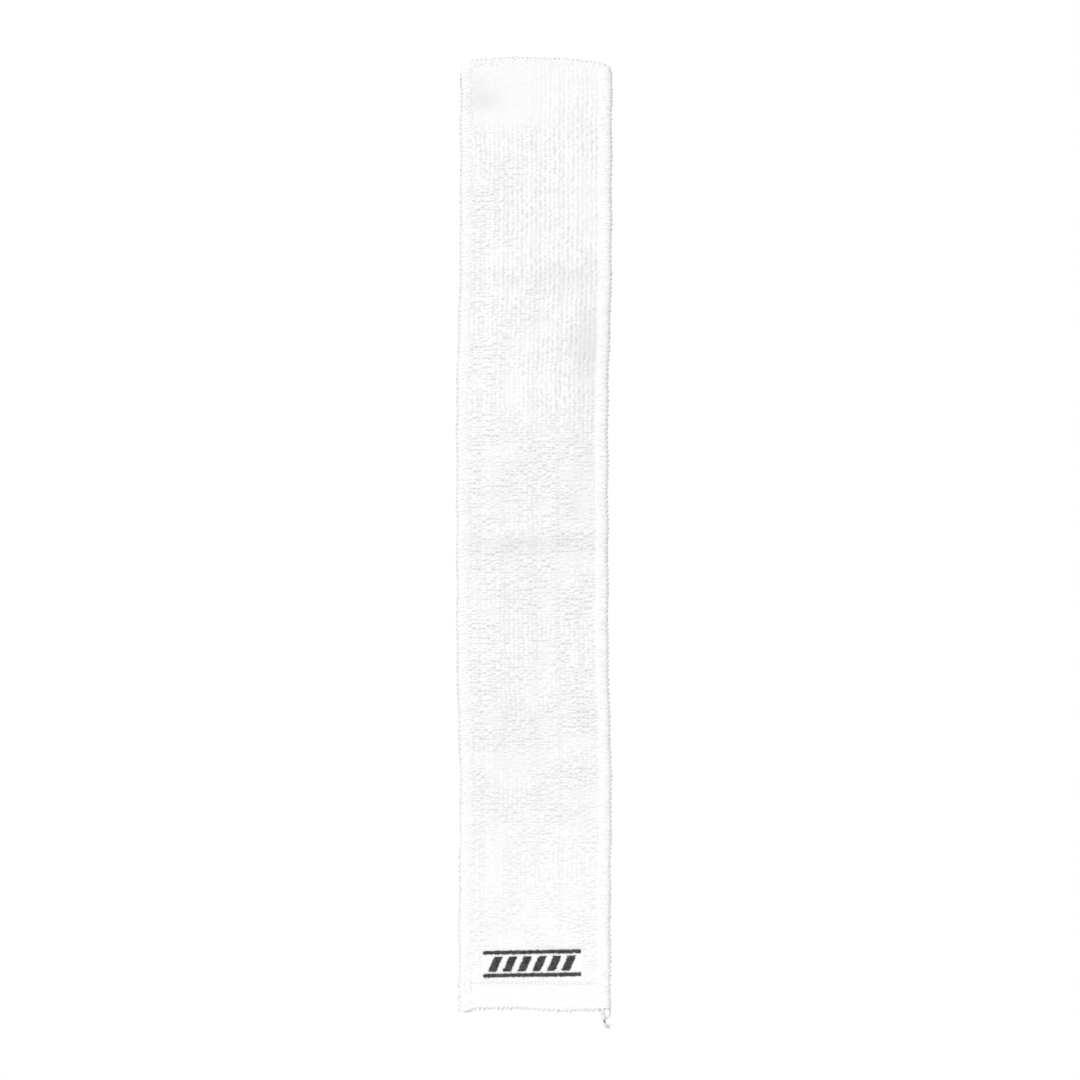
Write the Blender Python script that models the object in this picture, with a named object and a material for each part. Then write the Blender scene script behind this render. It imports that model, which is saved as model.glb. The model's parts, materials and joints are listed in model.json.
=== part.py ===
"""Streamer towel: a long terry strip that hangs from a player's belt.

Its top end is a flap that folds back over the belt and closes on itself with
hook-and-loop tape. The strip swings below the belt and is folded in half for
its packet.

Frame: metres, +Z up along the strip, +X across it, -Y out of its front. The
origin is the middle of the flap's fold line, on the back face, where the belt
carries the towel.
"""

import bpy
from math import cos, pi, radians, sin, tan

# Driving dimensions of the strip
WIDTH = 0.1016          # four inches across
LENGTH = 0.635          # twenty-five inches from end to end
FLAP_HEIGHT = 0.070     # from the fold line up to the top end
CLOTH = 0.0026          # terry with its pile lightly pressed
GAP = 0.0003            # clearance between pieces that touch

# Overlock threads, which wrap every raw edge as a flat U
THREAD_WALL = 0.0005
SIDE_OVERLOCK = 0.008
END_OVERLOCK = 0.005

# Fold lines. A fold's axis lies outside the cloth, on the side that closes.
BACK_FOLD_DEPTH = 0.0024       # behind the back face: the flap and the packet fold
FRONT_FOLD_DEPTH = 0.0012      # in front of the front face: the swing, away from the leg
SWING_LINE = -0.075            # the crease below the closed flap
MID_CREASE = -0.254            # the crease across the middle of the strip
FOLD_CLEARANCE = 0.00015       # half the gap between the lengths of cloth at a fold

# Hook-and-loop tapes, sewn on with one rectangle of stitches each
TAPE_WIDTH = 0.076
TAPE_HEIGHT = 0.025
TAPE_THICKNESS = 0.0012
STITCH_INSET = 0.0024
STITCH_GROOVE = 0.0014
GROOVE_DEPTH = 0.0008
STITCH_THREAD = 0.00045

# Hem at the bottom end, and its row of stitches
HEM_TOP = -0.547

# Embroidered emblem near the hem: two rails with slanted bars between them
EMBLEM_X = -0.002
EMBLEM_Z = -0.5335
EMBLEM_WIDTH = 0.065
EMBLEM_HEIGHT = 0.0174
EMBLEM_TILT = radians(1.0)
EMBROIDERY = 0.0006
RAIL_HEIGHT = 0.0021
BAR_COUNT = 6
BAR_WIDTH = 0.0052
BAR_HEIGHT = 0.0098
BAR_PITCH = 0.0098
BAR_SLANT = radians(24)

# Loose end of the overlock chain at the bottom right corner
TAIL_THREAD = 0.0011

TOP = FLAP_HEIGHT
BOTTOM = FLAP_HEIGHT - LENGTH
MIDDLE_Y = -CLOTH / 2
FRONT_Y = -CLOTH
SLOT_HALF_WIDTH = WIDTH / 2 - THREAD_WALL       # the inside of the side overlocks
TAPE_Z = TOP - END_OVERLOCK - 0.0006 - TAPE_HEIGHT / 2

COLOURS = {
    "terry": ((0.90, 0.90, 0.90), 0.95),
    "overlock": ((0.88, 0.88, 0.88), 0.80),
    "hook": ((0.80, 0.80, 0.79), 0.45),
    "loop": ((0.86, 0.86, 0.86), 0.90),
    "stitching": ((0.87, 0.87, 0.87), 0.70),
    "emblem": ((0.035, 0.036, 0.040), 0.55),
    "backing": ((0.84, 0.84, 0.83), 0.85),
}


def clear_scene():
    for obj in list(bpy.data.objects):
        bpy.data.objects.remove(obj, do_unlink=True)


def new_collection(name):
    collection = bpy.data.collections.new(name)
    bpy.context.scene.collection.children.link(collection)
    return collection


def make_materials():
    made = {}
    for name, (colour, roughness) in COLOURS.items():
        material = bpy.data.materials.new(name)
        material.use_nodes = True
        shader = material.node_tree.nodes["Principled BSDF"]
        shader.inputs["Base Color"].default_value = (*colour, 1.0)
        shader.inputs["Roughness"].default_value = roughness
        shader.inputs["Metallic"].default_value = 0.0
        made[name] = material
    return made


clear_scene()
TOWEL = new_collection("streamer_towel")
CUTTERS = new_collection("cutters")
MATERIALS = make_materials()


def fold_axis(name, y, z):
    """An empty on a fold's axis: the pieces below that fold are its children."""
    empty = bpy.data.objects.new(name, None)
    empty.empty_display_size = 0.02
    empty.location = (0.0, y, z)
    TOWEL.objects.link(empty)
    return empty


def finish(obj, material, axis=None):
    """Puts a made object in the towel's collection, on its fold's empty."""
    for collection in list(obj.users_collection):
        collection.objects.unlink(obj)
    TOWEL.objects.link(obj)
    obj.data.materials.clear()
    obj.data.materials.append(MATERIALS[material])
    if axis:
        obj.parent = axis
        obj.location = obj.location - axis.location
    return obj


def box(name, low, high):
    """A cube primitive stretched between two corners, its scale applied."""
    centre = [(a + b) / 2 for a, b in zip(low, high)]
    bpy.ops.mesh.primitive_cube_add(size=1, location=centre)
    obj = bpy.context.object
    obj.name = obj.data.name = name
    obj.scale = [b - a for a, b in zip(low, high)]
    bpy.ops.object.transform_apply(location=False, rotation=False, scale=True)
    return obj


def flat_outline(name, loops, thickness):
    """A filled 2D curve in its own XY plane, as thick as asked along its Z."""
    curve = bpy.data.curves.new(name, "CURVE")
    curve.dimensions = "2D"
    curve.fill_mode = "BOTH"
    curve.extrude = thickness / 2
    for points in loops:
        spline = curve.splines.new("POLY")
        spline.points.add(len(points) - 1)
        for point, (x, y) in zip(spline.points, points):
            point.co = (x, y, 0.0, 1.0)
        spline.use_cyclic_u = True
    obj = bpy.data.objects.new(name, curve)
    bpy.context.scene.collection.objects.link(obj)
    return obj


def rectangle(width, height):
    x, y = width / 2, height / 2
    return [(-x, -y), (x, -y), (x, y), (-x, y)]


def thread(name, points, diameter, cyclic=False):
    """A round thread along straight runs."""
    curve = bpy.data.curves.new(name, "CURVE")
    curve.dimensions = "3D"
    curve.bevel_depth = diameter / 2
    curve.bevel_resolution = 2
    curve.use_fill_caps = not cyclic
    spline = curve.splines.new("POLY")
    spline.points.add(len(points) - 1)
    for point, place in zip(spline.points, points):
        point.co = (*place, 1.0)
    spline.use_cyclic_u = cyclic
    obj = bpy.data.objects.new(name, curve)
    bpy.context.scene.collection.objects.link(obj)
    return obj


def channel_outline(depth):
    """The overlock's cross-section: a U that opens towards +X, its outer wall
    at x = 0, with room for the cloth between its legs."""
    front = FRONT_Y - GAP
    back = GAP
    return [
        (0.0, front - THREAD_WALL),
        (depth, front - THREAD_WALL),
        (depth, front),
        (THREAD_WALL, front),
        (THREAD_WALL, back),
        (depth, back),
        (depth, back + THREAD_WALL),
        (0.0, back + THREAD_WALL),
    ]


def side_overlock(name, side, low, high, axis):
    """The thread binding of one long side: side is -1 on the left, 1 on the right."""
    outline = channel_outline(SIDE_OVERLOCK)
    points = [(side * (WIDTH / 2 - x), y) for x, y in outline]
    obj = flat_outline(name, [points], high - low)
    obj.location.z = (low + high) / 2
    return finish(obj, "overlock", axis)


def end_overlock(name, edge, inward, axis):
    """The binding of a cut end at z = edge; inward is 1 when the towel is above it."""
    outline = [(-x * inward, y) for x, y in channel_outline(END_OVERLOCK)]
    width = WIDTH - 2 * SIDE_OVERLOCK - 2 * GAP
    obj = flat_outline(name, [outline], width)
    # Turned so that its own -X points up the towel and its own Z lies across it.
    obj.rotation_euler = (0.0, pi / 2, 0.0)
    obj.location = (0.0, 0.0, edge)
    return finish(obj, "overlock", axis)


def terry(name, low, high, axis):
    """One length of the terry strip, its sides inside the side overlocks."""
    half = SLOT_HALF_WIDTH - GAP
    panel = box(name, (-half, FRONT_Y, low), (half, 0.0, high))
    return finish(panel, "terry", axis)


def stitch_groove(name, z):
    """Cuts the sunk channel that a tape's stitches lie in."""
    outer = rectangle(TAPE_WIDTH - 2 * STITCH_INSET, TAPE_HEIGHT - 2 * STITCH_INSET)
    sunk = STITCH_INSET + STITCH_GROOVE
    inner = rectangle(TAPE_WIDTH - 2 * sunk, TAPE_HEIGHT - 2 * sunk)
    curve = flat_outline(name + "_curve", [outer, inner], 2 * GROOVE_DEPTH)
    curve.rotation_euler = (pi / 2, 0.0, 0.0)
    curve.location = (0.0, GAP + TAPE_THICKNESS, z)
    bpy.context.view_layer.update()
    evaluated = curve.evaluated_get(bpy.context.evaluated_depsgraph_get())
    mesh = bpy.data.meshes.new_from_object(evaluated)
    cutter = bpy.data.objects.new(name, mesh)
    cutter.matrix_world = curve.matrix_world
    bpy.data.objects.remove(curve, do_unlink=True)
    weld = cutter.modifiers.new("Weld", "WELD")
    weld.merge_threshold = 0.000001
    CUTTERS.objects.link(cutter)
    cutter.hide_render = True
    cutter.display_type = "WIRE"
    return cutter


def tape(name, material, z, axis):
    """A hook or a loop tape on the back face, with its rectangle of stitches."""
    low = (-TAPE_WIDTH / 2, GAP, z - TAPE_HEIGHT / 2)
    high = (TAPE_WIDTH / 2, GAP + TAPE_THICKNESS, z + TAPE_HEIGHT / 2)
    strip = finish(box(name, low, high), material, axis)
    cut = strip.modifiers.new("Stitch groove", "BOOLEAN")
    cut.operation = "DIFFERENCE"
    cut.object = stitch_groove(name + "_groove_cutter", z)

    middle = STITCH_INSET + STITCH_GROOVE / 2
    y = GAP + TAPE_THICKNESS - GROOVE_DEPTH / 2
    corners = rectangle(TAPE_WIDTH - 2 * middle, TAPE_HEIGHT - 2 * middle)
    route = [(x, y, z + up) for x, up in corners]
    stitches = thread(name + "_stitching", route, STITCH_THREAD, cyclic=True)
    finish(stitches, "stitching", axis)


def hem(axis):
    """The smooth hem below the terry, and the row of stitches along its top."""
    half = SLOT_HALF_WIDTH - GAP
    low = (-half, FRONT_Y, BOTTOM + THREAD_WALL + GAP)
    high = (half, 0.0, HEM_TOP - GAP)
    finish(box("bottom_hem", low, high), "terry", axis)
    reach = WIDTH / 2 - SIDE_OVERLOCK - 2 * GAP
    y = FRONT_Y - GAP - STITCH_THREAD / 2
    row = thread("hem_stitching", [(-reach, y, HEM_TOP), (reach, y, HEM_TOP)], STITCH_THREAD)
    finish(row, "stitching", axis)


def thread_tail(axis):
    """The end of the overlock's thread chain, left hanging from the corner."""
    x = WIDTH / 2 - 0.0045
    start = BOTTOM - GAP
    route = [
        (x, MIDDLE_Y, start),
        (x - 0.0004, MIDDLE_Y - 0.0003, start - 0.0030),
        (x - 0.0002, MIDDLE_Y - 0.0006, start - 0.0060),
        (x + 0.0008, MIDDLE_Y - 0.0005, start - 0.0088),
        (x + 0.0016, MIDDLE_Y - 0.0002, start - 0.0120),
    ]
    finish(thread("thread_tail", route, TAIL_THREAD), "overlock", axis)


def emblem_piece(name, points, across, up, depth, y, material, axis):
    """One block of satin stitches, placed in the emblem's own tilted frame."""
    obj = flat_outline(name, [points], depth)
    # Stands up in the XZ plane, then leans by the emblem's tilt about Y.
    obj.rotation_euler = (pi / 2, -EMBLEM_TILT, 0.0)
    x = across * cos(EMBLEM_TILT) - up * sin(EMBLEM_TILT)
    z = across * sin(EMBLEM_TILT) + up * cos(EMBLEM_TILT)
    obj.location = (EMBLEM_X + x, y, EMBLEM_Z + z)
    return finish(obj, material, axis)


def emblem(axis):
    """Two rails, a row of slanted bars between them, and the backing behind."""
    y = FRONT_Y - GAP - EMBROIDERY / 2
    rail = rectangle(EMBLEM_WIDTH, RAIL_HEIGHT)
    up = (EMBLEM_HEIGHT - RAIL_HEIGHT) / 2
    for name, place in (("emblem_top_rail", up), ("emblem_bottom_rail", -up)):
        emblem_piece(name, rail, 0.0, place, EMBROIDERY, y, "emblem", axis)

    lean = BAR_HEIGHT / 2 * tan(BAR_SLANT)
    half = BAR_WIDTH / 2
    high = BAR_HEIGHT / 2
    bar = [(-half - lean, -high), (half - lean, -high), (half + lean, high), (-half + lean, high)]
    for number in range(BAR_COUNT):
        across = (number - (BAR_COUNT - 1) / 2) * BAR_PITCH
        name = f"emblem_bar_{number + 1}"
        emblem_piece(name, bar, across, 0.0, EMBROIDERY, y, "emblem", axis)

    backing = rectangle(EMBLEM_WIDTH, EMBLEM_HEIGHT)
    behind = GAP + EMBROIDERY / 2
    emblem_piece("emblem_backing", backing, 0.0, 0.0, EMBROIDERY, behind, "backing", axis)


def belt_flap():
    """What folds back over the belt: the top end and the hook tape."""
    axis = fold_axis("belt_flap_fold", BACK_FOLD_DEPTH, 0.0)
    low = FOLD_CLEARANCE
    terry("flap_terry", low, TOP - THREAD_WALL - GAP, axis)
    side_overlock("flap_overlock_left", -1, low, TOP, axis)
    side_overlock("flap_overlock_right", 1, low, TOP, axis)
    end_overlock("top_end_overlock", TOP, -1, axis)
    tape("hook_tape", "hook", TAPE_Z, axis)


def waist():
    """What the belt holds: from the fold line down to where the strip swings."""
    low, high = SWING_LINE + FOLD_CLEARANCE, -FOLD_CLEARANCE
    terry("waist_terry", low, high, None)
    side_overlock("waist_overlock_left", -1, low, high, None)
    side_overlock("waist_overlock_right", 1, low, high, None)
    tape("loop_tape", "loop", -TAPE_Z, None)


def upper_streamer():
    """The swinging strip, down to the crease at its middle."""
    axis = fold_axis("streamer_swing", FRONT_Y - FRONT_FOLD_DEPTH, SWING_LINE)
    low, high = MID_CREASE + FOLD_CLEARANCE, SWING_LINE - FOLD_CLEARANCE
    terry("upper_terry", low, high, axis)
    side_overlock("upper_overlock_left", -1, low, high, axis)
    side_overlock("upper_overlock_right", 1, low, high, axis)


def lower_streamer():
    """From the middle crease to the hem, with the emblem."""
    axis = fold_axis("mid_crease_fold", BACK_FOLD_DEPTH, MID_CREASE)
    high = MID_CREASE - FOLD_CLEARANCE
    terry("lower_terry", HEM_TOP, high, axis)
    side_overlock("lower_overlock_left", -1, BOTTOM, high, axis)
    side_overlock("lower_overlock_right", 1, BOTTOM, high, axis)
    end_overlock("bottom_end_overlock", BOTTOM, 1, axis)
    hem(axis)
    thread_tail(axis)
    emblem(axis)


belt_flap()
waist()
upper_streamer()
lower_streamer()
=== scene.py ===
# %% [markdown]
# # A streamer towel, thread by thread
# A streamer towel is one long strip of white terry. A player hangs it from the belt: the top end folds back
# over the belt and closes on itself with hook-and-loop tape. Its raw edges are wrapped in overlock thread,
# and a small dark emblem is embroidered near the hem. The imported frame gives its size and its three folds.
# This lesson puts cloth, pile and thread round that frame, and never moves a part of it.

# %% Load the frame and read its sizes
import json
from math import cos, pi, radians, sin

import bpy
import numpy as np
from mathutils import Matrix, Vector


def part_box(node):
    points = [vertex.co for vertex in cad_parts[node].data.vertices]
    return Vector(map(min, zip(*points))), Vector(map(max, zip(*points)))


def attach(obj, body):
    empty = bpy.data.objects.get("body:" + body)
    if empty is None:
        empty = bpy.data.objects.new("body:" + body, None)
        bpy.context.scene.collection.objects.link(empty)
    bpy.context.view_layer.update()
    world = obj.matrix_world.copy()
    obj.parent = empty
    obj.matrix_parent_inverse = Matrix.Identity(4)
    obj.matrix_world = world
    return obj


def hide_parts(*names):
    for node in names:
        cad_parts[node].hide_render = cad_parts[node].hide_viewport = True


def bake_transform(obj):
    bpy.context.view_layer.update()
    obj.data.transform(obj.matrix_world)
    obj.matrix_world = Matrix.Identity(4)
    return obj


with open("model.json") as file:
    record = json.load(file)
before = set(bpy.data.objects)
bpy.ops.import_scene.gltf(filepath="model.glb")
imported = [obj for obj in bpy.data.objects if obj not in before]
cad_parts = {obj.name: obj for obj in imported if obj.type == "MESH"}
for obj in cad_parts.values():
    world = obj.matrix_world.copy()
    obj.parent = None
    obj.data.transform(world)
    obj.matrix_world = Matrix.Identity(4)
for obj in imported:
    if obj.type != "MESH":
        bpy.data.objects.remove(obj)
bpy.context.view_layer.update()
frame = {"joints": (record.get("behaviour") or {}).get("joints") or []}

MM = 0.001
HALF_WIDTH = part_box("waist_overlock_right")[1].x
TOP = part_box("top_end_overlock")[1].z
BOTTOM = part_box("bottom_end_overlock")[0].z
HEM_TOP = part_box("bottom_hem")[1].z
BAND = HALF_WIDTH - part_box("waist_overlock_right")[0].x
END_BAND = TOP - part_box("top_end_overlock")[0].z
MIDDLE_Y = (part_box("waist_terry")[0].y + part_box("waist_terry")[1].y) / 2
FOLD_Z = {joint["name"]: joint["pos_m"][2] for joint in frame["joints"]}
FLAP_Z, SWING_Z, CREASE_Z = (FOLD_Z[name] for name in ("belt_flap_fold", "streamer_swing", "mid_crease_fold"))
print(f"strip {2 * HALF_WIDTH / MM:.1f} x {(TOP - BOTTOM) / MM:.1f} mm, folds at {FOLD_Z}")

# %% [markdown]
# ## The camera and the light
# The camera comes first, because every look is judged through it. It stands straight in front, far off, with
# a long lens, so the two long sides stay parallel. Three soft lamps light the towel. A strong one high on the
# left shows the pile without hard shadows, a weak one low on the right keeps that edge from going black, and
# the third lights the back. The world is white to the camera and dimmer to the cloth, so that the rolled edges
# still turn a little grey.

# %% Camera
STRIP_SHARE = 0.8815    # how much of the picture's height the strip fills
PICTURE = (TOP - BOTTOM) / STRIP_SHARE
CAMERA_DISTANCE = 2.4
CENTRE = Vector((0.0, MIDDLE_Y, (TOP + BOTTOM) / 2))
CAMERA_SHIFT = Vector((0.0037, 0.0, -0.0037))   # leaves the strip a little to the left, and a little high
SENSOR = 36.0

bpy.ops.object.camera_add(
    location=CENTRE + CAMERA_SHIFT + Vector((0.0, -CAMERA_DISTANCE, 0.0)),
    rotation=(pi / 2, 0.0, 0.0),
)
camera = bpy.context.object
camera.data.sensor_width = SENSOR
camera.data.lens = SENSOR * CAMERA_DISTANCE / PICTURE
bpy.context.scene.camera = camera
print(f"camera: {camera.data.lens:.0f} mm lens at {CAMERA_DISTANCE} m")


# %% Lamps
def soft_lamp(name, place, size, power):
    """A square area lamp that points at the middle of the towel."""
    bpy.ops.object.light_add(type="AREA", location=place)
    lamp = bpy.context.object
    lamp.name = name
    lamp.data.size = size
    lamp.data.energy = power
    lamp.rotation_euler = (CENTRE - Vector(place)).to_track_quat("-Z", "Y").to_euler()


# Each lamp: name, place, side of its square in metres, and power in watts.
LAMPS = (
    ("key_lamp", (-1.9, -3.9, 1.4), 1.8, 142.0),
    ("fill_lamp", (1.6, -1.6, -0.55), 0.8, 9.0),
    ("back_lamp", (0.6, 2.2, 0.5), 1.2, 22.0),
)
for lamp in LAMPS:
    soft_lamp(*lamp)
print(f"{len(LAMPS)} lamps")

# %% White world and pale floor
WORLD_LIGHT = 0.42      # how bright the world is to the cloth; to the camera it is 1
world = bpy.data.worlds.new("white_studio")
world.use_nodes = True
bpy.context.scene.world = world
sky = world.node_tree.nodes["Background"]
sky.inputs["Color"].default_value = (1.0, 1.0, 1.0, 1.0)
seen = world.node_tree.nodes.new("ShaderNodeLightPath")
level = world.node_tree.nodes.new("ShaderNodeMapRange")
level.inputs["To Min"].default_value = WORLD_LIGHT
level.inputs["To Max"].default_value = 1.0
world.node_tree.links.new(seen.outputs["Is Camera Ray"], level.inputs["Value"])
world.node_tree.links.new(level.outputs["Result"], sky.inputs["Strength"])

scene = bpy.context.scene
scene.view_settings.view_transform = "Standard"
scene.view_settings.look = "None"

FLOOR_DROP = 0.13
FLOOR_RADIUS = 0.5
bpy.ops.mesh.primitive_circle_add(
    vertices=96, radius=FLOOR_RADIUS, fill_type="NGON", location=(0.0, 0.0, BOTTOM - FLOOR_DROP)
)
floor = bpy.context.object
floor.name = "studio_floor"
print(f"floor {FLOOR_DROP} m below the towel")


# %% [markdown]
# ## Finishes
# Every finish is built from nodes, so it needs no picture. Two effects repeat: a slow change of shade, as one
# bale of cotton differs from the next, and the fine fuzz of spun fibre, which is a height for Bump. Each is
# a group with its own inputs. The shader itself, and each value that is the same all over, stay in the
# material.

# %% Two shared effects
def new_group(name, inputs, output):
    """A shader node group with number inputs and one number output."""
    group = bpy.data.node_groups.new(name, "ShaderNodeTree")
    for title, value in inputs.items():
        made = group.interface.new_socket(title, in_out="INPUT", socket_type="NodeSocketFloat")
        made.default_value = value
    group.interface.new_socket(output, in_out="OUTPUT", socket_type="NodeSocketFloat")
    return group, group.nodes.new("NodeGroupInput"), group.nodes.new("NodeGroupOutput")


def shade_variation():
    """Slow patches between Low and 1, Scale patches to the metre."""
    group, given, made = new_group("shade_variation", {"Scale": 60.0, "Low": 0.0}, "Shade")
    place = group.nodes.new("ShaderNodeTexCoord")
    noise = group.nodes.new("ShaderNodeTexNoise")
    noise.inputs["Detail"].default_value = 3.0
    spread = group.nodes.new("ShaderNodeMapRange")
    spread.inputs["From Min"].default_value = 0.3
    spread.inputs["From Max"].default_value = 0.7
    group.links.new(place.outputs["Object"], noise.inputs["Vector"])
    group.links.new(given.outputs["Scale"], noise.inputs["Scale"])
    group.links.new(noise.outputs["Fac"], spread.inputs["Value"])
    group.links.new(given.outputs["Low"], spread.inputs["To Min"])
    group.links.new(spread.outputs["Result"], made.inputs["Shade"])
    return group


def fibre_fuzz():
    """Short tangled fibres, as a height from 0 to 1."""
    group, given, made = new_group("fibre_fuzz", {"Scale": 2200.0, "Coarse": 0.35}, "Height")
    place = group.nodes.new("ShaderNodeTexCoord")
    fine = group.nodes.new("ShaderNodeTexNoise")
    fine.inputs["Detail"].default_value = 4.0
    fine.inputs["Distortion"].default_value = 0.8
    coarse = group.nodes.new("ShaderNodeTexNoise")
    coarse.inputs["Scale"].default_value = 620.0
    mix = group.nodes.new("ShaderNodeMix")
    group.links.new(place.outputs["Object"], fine.inputs["Vector"])
    group.links.new(place.outputs["Object"], coarse.inputs["Vector"])
    group.links.new(given.outputs["Scale"], fine.inputs["Scale"])
    group.links.new(given.outputs["Coarse"], mix.inputs["Factor"])
    group.links.new(fine.outputs["Fac"], mix.inputs["A"])
    group.links.new(coarse.outputs["Fac"], mix.inputs["B"])
    group.links.new(mix.outputs["Result"], made.inputs["Height"])
    return group


SHADE = shade_variation()
FUZZ = fibre_fuzz()
print("groups:", SHADE.name, FUZZ.name)

# %% A cloth or thread finish from the two effects
SHEEN_ROUGHNESS = 0.45
FIBRE_SPECULAR = 0.25


def finish(name, dark, light, roughness, sheen, fibres, patches, least=0.0, pile=False):
    """A fibre finish whose colour runs from dark to light. fibres are the fuzz's fineness and its height in
    metres, patches the number of shade patches to the metre, and least the darkest patch's place between
    the colours. With pile, the colour also follows the 'pile' attribute: painted shade between the loops and
    under thread, and painted light and shade in patches."""
    material = bpy.data.materials.new(name)
    material.use_nodes = True
    nodes, links = material.node_tree.nodes, material.node_tree.links
    shader = nodes["Principled BSDF"]
    shader.inputs["Roughness"].default_value = roughness
    shader.inputs["Sheen Weight"].default_value = sheen
    shader.inputs["Sheen Roughness"].default_value = SHEEN_ROUGHNESS
    shader.inputs["Specular IOR Level"].default_value = FIBRE_SPECULAR

    shade = nodes.new("ShaderNodeGroup")
    shade.node_tree = SHADE
    shade.inputs["Scale"].default_value = patches
    shade.inputs["Low"].default_value = least
    factor = shade.outputs["Shade"]
    # with pile, the 'pile' attribute brings painted shade and painted light into the colour
    if pile:
        height = nodes.new("ShaderNodeAttribute")
        height.attribute_name = "pile"
        both = nodes.new("ShaderNodeMath")
        both.operation = "MULTIPLY"
        links.new(height.outputs["Fac"], both.inputs[0])
        links.new(factor, both.inputs[1])
        factor = both.outputs["Value"]
    colour = nodes.new("ShaderNodeMix")
    colour.data_type = "RGBA"
    colour.inputs["A"].default_value = (*dark, 1.0)
    colour.inputs["B"].default_value = (*light, 1.0)
    links.new(factor, colour.inputs["Factor"])
    links.new(colour.outputs["Result"], shader.inputs["Base Color"])

    fuzz = nodes.new("ShaderNodeGroup")
    fuzz.node_tree = FUZZ
    fuzz.inputs["Scale"].default_value = fibres[0]
    bump = nodes.new("ShaderNodeBump")
    bump.inputs["Distance"].default_value = fibres[1]
    links.new(fuzz.outputs["Height"], bump.inputs["Height"])
    links.new(bump.outputs["Normal"], shader.inputs["Normal"])
    return material


def grey(value, warmth=0.0):
    """A neutral colour, a little yellow for a warmth above 0."""
    return (value, value, value * (1.0 - warmth))


# %% The finishes
# Terry's dark end is painted shade: through the 'pile' attribute it darkens the colour deep between the loops.
COTTON = finish(
    "white_cotton_terry", grey(0.57, 0.01), grey(0.96),
    roughness=0.95, sheen=0.20, fibres=(2600.0, 0.00030), patches=60.0, least=0.92, pile=True,
)
OVERLOCK = finish(
    "white_overlock_thread", grey(0.89, 0.005), grey(0.96),
    roughness=0.75, sheen=0.25, fibres=(4200.0, 0.00008), patches=330.0,
)
LOOSE = finish(
    "loose_overlock_thread", grey(0.70, 0.005), grey(0.84),
    roughness=0.80, sheen=0.20, fibres=(4200.0, 0.00008), patches=330.0,
)
SEWING = finish(
    "white_sewing_thread", grey(0.80), grey(0.93),
    roughness=0.60, sheen=0.15, fibres=(6000.0, 0.00004), patches=400.0,
)
EMBROIDERY = finish(
    "charcoal_embroidery_thread", (0.008, 0.009, 0.012), (0.095, 0.096, 0.105),
    roughness=0.42, sheen=0.35, fibres=(5200.0, 0.00005), patches=620.0,
)
HOOK_NYLON = finish(
    "white_hook_nylon", grey(0.76, 0.01), grey(0.87, 0.01),
    roughness=0.32, sheen=0.0, fibres=(3000.0, 0.00002), patches=500.0,
)
LOOP_NYLON = finish(
    "white_loop_nylon", grey(0.90), grey(0.96),
    roughness=0.55, sheen=0.30, fibres=(5000.0, 0.00004), patches=500.0,
)
TAPE_BASE = finish(
    "white_tape_ground", grey(0.82, 0.01), grey(0.91),
    roughness=0.60, sheen=0.05, fibres=(1800.0, 0.00010), patches=900.0,
)
BACKING = finish(
    "white_backing_felt", grey(0.78, 0.01), grey(0.90, 0.01),
    roughness=0.90, sheen=0.10, fibres=(1500.0, 0.00012), patches=350.0,
)
FLOOR = finish(
    "pale_studio_floor", grey(0.85), grey(0.87),
    roughness=0.80, sheen=0.0, fibres=(300.0, 0.00002), patches=6.0,
)
floor.data.materials.append(FLOOR)
print(f"{len(bpy.data.materials)} materials")

# %% [markdown]
# ## How the strip lies
# A towel is never a perfect rectangle. It was rolled, folded in half for its packet and pulled by its own
# overlock thread, so it wanders sideways by a millimetre or two, its top end is bowed, and soft creases cross
# it. All of that is one function, lay(). Each piece is first made on a flat, straight strip and then laid, so
# cloth, thread and emblem all follow the same bends.


# %% Smooth curves and waves
def smooth_step(value):
    """From 0 to 1, with no corner at either end."""
    t = np.clip(value, 0.0, 1.0)
    return t * t * (3.0 - 2.0 * t)


def wave(at, length, shift=0.0):
    return np.sin(at * 2 * pi / length + shift)


def through(places, heights, at):
    """A smooth curve through a few heights, flat at each of them."""
    places, heights = np.array(places), np.array(heights)
    index = np.clip(np.searchsorted(places, at) - 1, 0, len(places) - 2)
    share = smooth_step((at - places[index]) / (places[index + 1] - places[index]))
    return heights[index] + share * (heights[index + 1] - heights[index])


print(f"half-way up a smooth step: {smooth_step(0.5):.1f}")

# %% The wander and the bowed ends
END_REACH = 0.030       # how far from each end its bow is felt


def wander(z):
    """Sideways drift of the strip's middle line, with a small ripple on it."""
    heights = [BOTTOM, -0.500, -0.420, -0.315, -0.165, -0.060, TOP]
    drift = [0.3 * MM, 0.2 * MM, 0.9 * MM, -1.3 * MM, -1.4 * MM, 1.0 * MM, 1.3 * MM]
    return through(heights, drift, z) + 0.25 * MM * wave(z, 0.041, 1.0)


def end_bow(x, z):
    """The top end's crown and lowered corners, and the bottom end's slight sag."""
    across = [-HALF_WIDTH, -0.045, -0.040, -0.015, 0.020, 0.038, HALF_WIDTH]
    crown = [-4.6 * MM, -2.2 * MM, -0.3 * MM, 1.3 * MM, 0.3 * MM, -1.6 * MM, -4.8 * MM]
    sag = [-1.5 * MM, -1.1 * MM, 0.5 * MM, 0.9 * MM, -0.8 * MM, -0.4 * MM, 0.7 * MM]
    high = smooth_step((z - TOP + END_REACH) / END_REACH)
    low = smooth_step((BOTTOM + END_REACH - z) / END_REACH)
    return high * through(across, crown, x) + low * through(across, sag, x)


print(f"the top corners are {-end_bow(HALF_WIDTH, TOP) / MM:.1f} mm low")

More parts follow.
